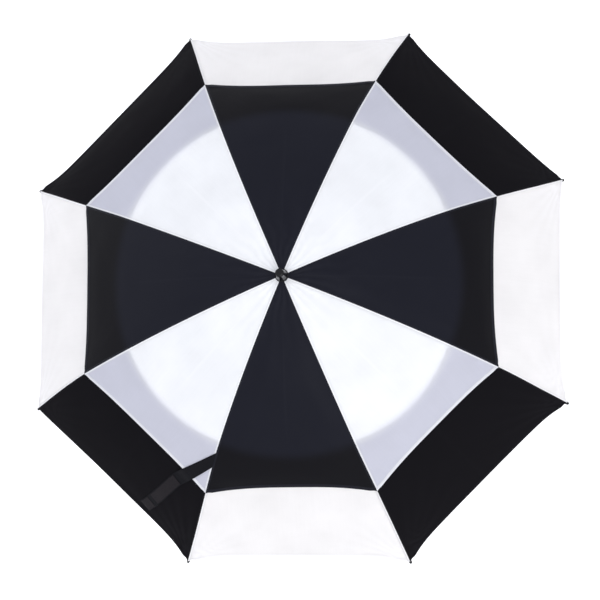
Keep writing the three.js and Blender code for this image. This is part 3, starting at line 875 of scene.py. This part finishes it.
def stretcher(k, angle):
    """A channel with a flat eye at the runner end, and a fork of two cheeks with its rivet at the rib end."""
    lean = math.atan2(JOINT_Z - RUNNER_Z, REACH)
    eye = plate("eye", eye_outline(0.029, 0.0019, 0.0025), 0.00105, STEEL, [(0, 0, 0.0010)])
    pieces = [channel(f"stretcher_{k}_channel"), eye]
    for side in (-1, 1):
        cheek = plate("cheek", eye_outline(0.0150, 0.0020, 0.0025), 0.00050, STEEL)
        move(cheek, lambda p: np.stack([STRETCHER - p[:, 0], p[:, 1] + side * 0.00165, p[:, 2]], -1))
        cheek.data.flip_normals()
        pieces.append(cheek)
    near, far = STRETCHER - 0.0155, STRETCHER - 0.0058
    saddle = [(near, 0.0020), (far, 0.0020), (far, -0.0020), (near, -0.0020)]
    pieces.append(plate("saddle", saddle, 0.00112, STEEL))
    rivet_profile = [
        (0, -0.0026), (0.0012, -0.00255), (0.0017, -0.0022), (0.00105, -0.00215),
        (0.00105, 0.00215), (0.0017, 0.0022), (0.0012, 0.00255), (0, 0.0026),
    ]
    rivet = lathe("rivet", rivet_profile, STEEL, 24)
    move(rivet, lambda p: np.stack([p[:, 0] + STRETCHER, p[:, 2], -p[:, 1]], -1))
    pieces.append(rivet)
    obj = join(f"stretcher_{k}_channel", pieces)
    move(obj, lambda p: turn(tilt(p, -lean, PIVOT_R, RUNNER_Z), angle))
    bevel(obj, 0.00012, 1)
    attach(obj, f"stretcher_{k}")
    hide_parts(f"stretcher_{k}")


# ---------------------------------------------------------------- centre column
TOP_NOSE = RUNNER_Z - RUNNER_LOW - 0.0003
LOW_NOSE = LOW_CATCH_TOP - CATCH_LENGTH
SHAFT_TOP = PIVOT_Z + 0.030


def column(name, node, profile, material, body="frame", radius=0.0005, sides=96, slots=()):
    """A turned piece that stands for a node, with boxes cut out of it."""
    obj = lathe(name, rounded(profile, radius), material, sides)
    if slots:
        cut_boxes(obj, slots)
    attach(obj, body)
    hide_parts(node)
    return obj


def above(base, profile):
    """A profile of (radius, height) moved up by base."""
    return [(r, base + z) for r, z in profile]


def spokes(inner, low, high):
    """The boxes of eight slots, one at each rib."""
    return [((inner, -SLOT, low), (0.02, SLOT, high), HALF + 2 * HALF * k) for k in range(GORES)]


def build_shaft():
    column(
        "shaft_tube", "shaft",
        [(0.006, GRIP_LOW), (SHAFT_R, GRIP_LOW), (SHAFT_R, SHAFT_TOP), (0.006, SHAFT_TOP)],
        STEEL, radius=0.0002, sides=72,
        slots=[
            ((0.003, -SLOT, TOP_NOSE - CATCH_LENGTH - SLOT), (0.010, SLOT, TOP_NOSE + SLOT), 0),
            ((0.003, -SLOT, LOW_NOSE - SLOT), (0.010, SLOT, LOW_NOSE + CATCH_LENGTH + SLOT), 0),
        ],
    )


def build_notch():
    profile = [
        (BORE_R, -0.007), (0.0145, -0.007), (FLANGE_R, -0.0055), (FLANGE_R, -0.0013), (0.0106, -0.0013),
        (0.0106, 0.0013), (FLANGE_R, 0.0013), (FLANGE_R, 0.0022), (BORE_R, 0.0022),
    ]
    profile = above(PIVOT_Z, profile)
    slots = spokes(0.0089, PIVOT_Z - 0.010, PIVOT_Z + 0.005)
    column("top_notch_body", "top_notch", profile, PLASTIC, radius=0.0004, slots=slots)
    angles = np.linspace(0.03, 2 * math.pi - 0.03, 96)
    path = [(PIVOT_R * math.cos(a), PIVOT_R * math.sin(a), PIVOT_Z) for a in angles]
    wire = tube(path, 0.0008, 12, "notch_wire_ring", STEEL)
    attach(wire, "frame")
    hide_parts("notch_wire")


def build_runner():
    low = RUNNER_Z - RUNNER_LOW
    grooves = []
    for i in range(4):
        g = low + 0.0105 + i * 0.0022
        grooves += [(0.0100, g), (0.0097, g + 0.0006), (0.0097, g + 0.0011), (0.0100, g + 0.0017)]
    profile = [
        *above(low, [(RUNNER_BORE_R, 0), (0.0102, 0), (0.0109, 0.001), (0.0109, 0.006), (0.0100, 0.009)]),
        *grooves,
        (0.0094, low + 0.020),
        *above(RUNNER_Z, [(0.0094, -0.012), (0.012, -0.007), (FLANGE_R, -0.005), (FLANGE_R, 0.005)]),
        *above(RUNNER_Z, [(0.0105, RUNNER_HIGH), (RUNNER_BORE_R, RUNNER_HIGH)]),
    ]
    slots = spokes(0.0092, RUNNER_Z - 0.012, RUNNER_Z + 0.010)
    column("runner_body", "runner", profile, PLASTIC, body="runner", slots=slots)


def build_crown():
    """The cap that clamps the canopy's centre, and the ferrule over it."""
    crown = PIVOT_Z + UPPER_OFF + CLOTH
    cap = [(BORE_R, 0.0006), (0.0142, 0.0006), (0.0142, 0.0017), (0.0132, 0.0026), (BORE_R, 0.0026)]
    column("crown_cap_ring", "crown_cap", above(crown, cap), PLASTIC)
    ferrule = [
        (BORE_R, 0.0029), (0.0127, 0.0029), (0.0130, 0.005), (0.0127, 0.0068), (0.0121, 0.0072),
        (0.0121, 0.0082), (0.0122, 0.0100), (0.0112, 0.0160), (0.0104, 0.0230), (0.0098, 0.031),
        (0.0095, 0.038), (0.0094, 0.0405), (0.0090, 0.0425), (0.0080, 0.0442),
        (0.0060, 0.0453), (0.0030, 0.04575), (0, 0.0458),
    ]
    socket = [(0, SHAFT_TOP + 0.0004), (BORE_R, SHAFT_TOP + 0.0004)]
    profile = [*above(crown, ferrule), *socket]
    column("ferrule_body", "ferrule", profile, PLASTIC, radius=0.0007)


def build_handle():
    grip_profile = [
        (GRIP_BORE_R, GRIP_LOW), (0.0168, GRIP_LOW), (0.0175, 0.0115), (0.0178, 0.018), (0.0178, 0.027),
        (0.0173, 0.038), (0.0166, 0.048), (0.0160, 0.064), (0.0156, 0.082), (0.0154, 0.100),
        (0.0154, 0.115), (0.0156, 0.130), (0.0159, 0.146), (0.0162, 0.162), (0.0163, 0.175),
        (0.0161, 0.185), (0.0157, 0.192), (0.0148, GRIP_TOP), (GRIP_BORE_R, GRIP_TOP),
    ]
    grip = column("foam_grip", "handle_grip", grip_profile, FOAM, radius=0.0015)
    collar_profile = above(GRIP_TOP, [
        (0.00735, 0.0004), (0.0156, 0.0004), (0.0156, 0.0028), (0.0150, 0.0032), (0.0150, 0.0040),
        (0.0154, 0.0046), (0.0150, 0.0062), (0.0136, 0.009), (0.0124, 0.0125),
    ]) + above(COLLAR_TOP, [(0.0120, -0.0015), (0.0110, 0), (0.00735, 0)])
    column("handle_collar_ring", "handle_collar", collar_profile, PLASTIC)
    cap_profile = [
        (0, 0), (0.0130, 0), (0.0150, 0.0006), (0.0163, 0.0017), (0.0170, 0.0034), (0.0172, 0.0050),
        (0.0168, 0.0056), (0.0168, 0.0062), (0.0172, 0.0068), (0.0172, 0.0080), (0.0056, 0.0080),
        (0.0056, 0.0235), (0.0050, 0.0240), (0, 0.0240),
    ]
    column("end_cap_body", "end_cap", cap_profile, PLASTIC, radius=0.0004)


def build_catches():
    """Spring blades whose noses, at the first points, stand out of the shaft and hold the runner."""
    shape = [
        (0.0046, 0), (0.0090, 0), (0.0095, 0.0006), (0.0096, 0.003), (0.0089, 0.0075),
        (0.0066, 0.0290), (0.0061, 0.0335), (0.0058, CATCH_LENGTH), (0.0046, CATCH_LENGTH),
    ]
    for name, nose, way in (("top_catch", TOP_NOSE, 1), ("bottom_catch", LOW_NOSE, -1)):
        outline = [(x, nose - way * back) for x, back in shape]
        blade = plate(f"{name}_blade", outline[::way], 0.001, STEEL)
        bevel(blade, 0.00025, 2)
        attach(blade, name)
        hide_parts(name)


# ---------------------------------------------------------------- tie strap
# One edge of the strap as (s, y) over half b of its gore. The other edge lies STRAP_WIDTH further from the
# fold line and STRAP_SKEW further out. The sewn root runs STRAP_ROOT along the seam and laps past it, so
# the first y here is not used.
STRAP_INNER = [(0.398, 0.0), (0.505, 0.113), (0.538, 0.102), (0.639, 0.090), (0.664, 0.087), (0.700, 0.080)]
STRAP_WIDTH = 0.030
STRAP_SKEW, STRAP_ROOT, STRAP_LAP = 0.005, 0.037, 0.0008
STRAP_CLEAR = 0.00045


def strap_lines(a):
    """The strap's two edges (s, y) at a share a of its length."""
    along = np.asarray(a, float) * (len(STRAP_INNER) - 1)
    i = np.minimum(len(STRAP_INNER) - 2, np.floor(along)).astype(int)
    mix = along - i
    table = np.array(STRAP_INNER)
    edges = []
    for side in (0, 1):
        s = table[:, 0] + side * STRAP_SKEW
        s[0] = table[0, 0] + side * STRAP_ROOT
        y = table[:, 1] + side * STRAP_WIDTH
        y[0] = gore_half(s[0]) + STRAP_LAP
        edges.append((s[i] + mix * (s[i + 1] - s[i]), y[i] + mix * (y[i + 1] - y[i])))
    return edges


def strap_piece(name, a0, a1, b0, b1, lift, thick, material, rows, columns):
    """A length a0 to a1 of the strap, b0 to b1 across it, lying on the upper cloth and then on the lower."""
    a = np.linspace(a0, a1, rows)
    smoothed = [[], []]
    for offset in np.linspace(-0.05, 0.05, 9):
        for side, (s, y) in enumerate(strap_lines(np.clip(a + offset * (a > 0.05), 0, 1))):
            smoothed[side].append(np.stack([s, y], -1))
    inner, outer = (np.mean(smoothed[side], axis=0) for side in (0, 1))
    b = np.linspace(b0, b1, columns)
    place = inner[:, None] + b[None, :, None] * (outer - inner)[:, None]
    s, y = place[..., 0], place[..., 1]
    width = gore_half(s)
    y = np.minimum(y, width + STRAP_LAP)
    v = y / width

    # It steps down from the upper cloth to the lower one just past the upper hem.
    hem, end = upper_end(v, STRAP_GORE), lower_end(v, STRAP_GORE)
    down = smooth((s - hem - 0.001) / 0.023)
    seam = FELL_EXTRA * smooth((FELL_WIDTH - width + y) / FELL_EDGE)
    upper_bumps = relief(s, y, STRAP_GORE, 1, True, hem)[0]
    lower_bumps = relief(s, y, STRAP_GORE, 1, False, end)[0]
    high = UPPER_OFF + CROWN_RAISE + upper_bumps + CLOTH + seam + STRAP_CLEAR
    low = LOWER_OFF + lower_bumps + CLOTH + STRAP_CLEAR + tip_raise(s)
    curl = 0.0003 * (1 - (2 * b[None, :] - 1) ** 2) + 0.0004 * np.sin(a[:, None] * 19) * (b[None, :] - 0.4)
    off = high + down * (low - high) + np.maximum(curl, 0) + lift
    rise = vent_lift(np.minimum(s, hem)) * (1 - down)
    under_face, over_face = (panel_points(s, y, off + raised, rise, STRAP_GORE) for raised in (0, thick))

    obj = closed_sheet(name, under_face, over_face, False, material)
    add_cut(obj, s, y)
    bevel(obj, 0.0002, 2, 50)
    ride_fold(obj)
    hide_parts("tie_strap")


# ---------------------------------------------------------------- scene
def build_stage():
    half, low = 14, -0.004
    corners = [(-half, -half, low), (half, -half, low), (half, half, low), (-half, half, low)]
    floor = make("floor", corners, [[0, 1, 2, 3]], PALE, False)
    world = bpy.data.worlds.new("studio")
    bpy.context.scene.world = world
    world.use_nodes = True
    background = world.node_tree.nodes["Background"]
    background.inputs["Color"].default_value = (0.93, 0.95, 1.0, 1)
    background.inputs["Strength"].default_value = 1.02
    for name, place, size, power, colour in (
        ("key", (1.35, -1.7, 3.5), 1.8, 38, (1.0, 0.99, 0.97)),
        ("fill", (-2.6, 1.4, 2.6), 2.4, 16, (0.95, 0.97, 1.0)),
    ):
        light = bpy.data.lights.new(name, "AREA")
        light.size = size
        light.energy = power
        light.color = colour
        lamp = bpy.data.objects.new(name, light)
        lamp.location = place
        lamp.rotation_euler = (Vector((0, 0, 0.8)) - Vector(place)).to_track_quat("-Z", "Y").to_euler()
        bpy.context.scene.collection.objects.link(lamp)


def build_camera():
    camera = bpy.data.cameras.new("camera")
    camera.lens = 85
    camera.sensor_width = 36
    obj = bpy.data.objects.new("camera", camera)
    place = Vector((0.3111, -0.3650, 3.8155))
    target = Vector((0.01465, -0.0250, 0.700))
    back = (place - target).normalized()
    up = Vector((0.00377, 1, 0))
    right = up.cross(back).normalized()
    up = back.cross(right)
    obj.matrix_world = Matrix([(right[i], up[i], back[i], place[i]) for i in range(3)] + [(0, 0, 0, 1)])
    camera.clip_end = 60
    bpy.context.scene.collection.objects.link(obj)
    bpy.context.scene.camera = obj


build_camera()
build_stage()
for number in range(1, GORES + 1):
    azimuth = HALF + 2 * HALF * (number - 1)
    rib_rod(number, azimuth)
    rib_metal(number, azimuth)
    rib_ties(number, azimuth)
    rib_tip(number, azimuth)
    stretcher(number, azimuth)
for number in range(1, GORES + 1):
    pale_upper = number % 2 == 1
    for part in "ab":
        panel(f"upper_panel_{number}{part}", number, part, True, WHITE_CLOTH if pale_upper else BLACK_CLOTH)
        panel(f"lower_panel_{number}{part}", number, part, False, BLACK_BAND if pale_upper else WHITE_BAND)
build_shaft()
build_notch()
build_runner()
build_crown()
build_handle()
build_catches()
strap_piece("tie_strap_band", 0.0, 1.0, 0.0, 1.0, 0.0, 0.0010, WEBBING, 120, 13)
strap_piece("tie_strap_patch", 0.385, 0.67, 0.08, 0.92, 0.0012, 0.0010, LOOPS, 60, 11)
strap_piece("tie_strap_tab", 0.79, 0.985, 0.06, 0.94, 0.0012, 0.0008, LOOPS, 24, 11)

bpy.context.scene.view_settings.view_transform = "Standard"
